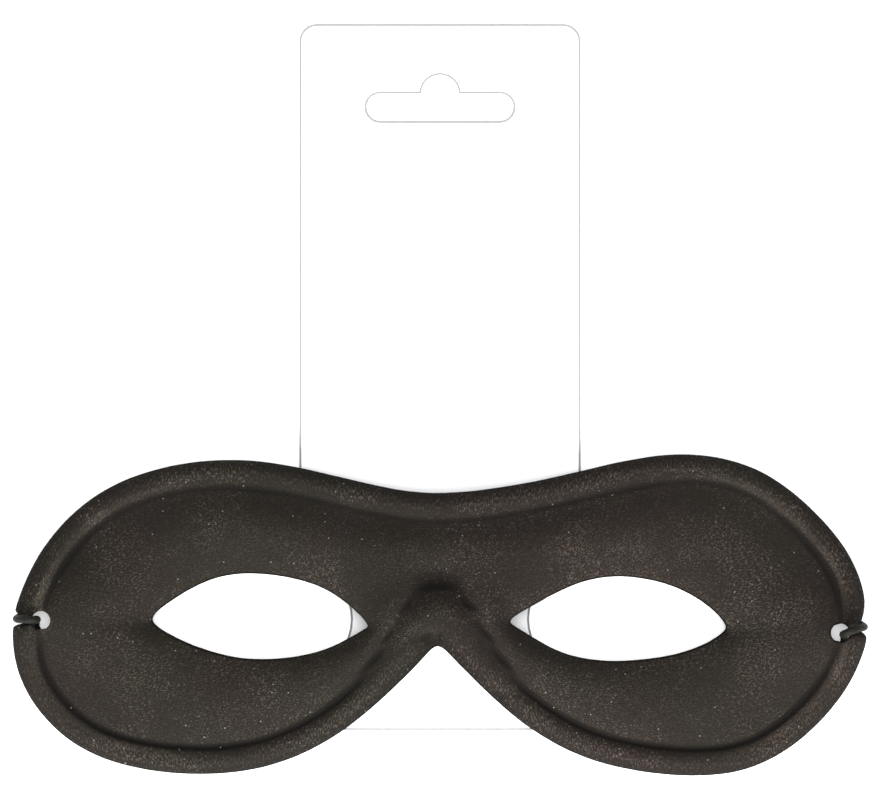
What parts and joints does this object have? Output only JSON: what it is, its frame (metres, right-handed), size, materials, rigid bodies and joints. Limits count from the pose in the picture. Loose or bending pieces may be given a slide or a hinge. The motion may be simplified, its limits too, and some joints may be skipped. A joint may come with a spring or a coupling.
{
  "type": "domino mask on hang card",
  "caption": "Moulded fabric domino mask with a rolled rim and almond eye holes, threaded by its elastic on a white hang card with a wide slot.",
  "frame": {"origin": "middle of the footprint of mask and card, on the surface they lie on", "axes": "+X along the mask's width, towards the wearer's left; +Y towards the forehead and the card's top edge; +Z out of the mask's face"},
  "size_m": [0.1857, 0.1634, 0.0139],
  "materials": {
    "black_fabric": "matte woven fabric over a moulded backing",
    "black_elastic": "braided round elastic",
    "white_card": "smooth white cardboard, satin; matte_plastic stands in for paper board"
  },
  "bodies": {
    "root": {"mask_shell": "black_fabric", "hang_card": "white_card", "elastic_cord": "black_elastic", "knot_left": "black_elastic", "knot_right": "black_elastic"}
  },
  "joints": []
}
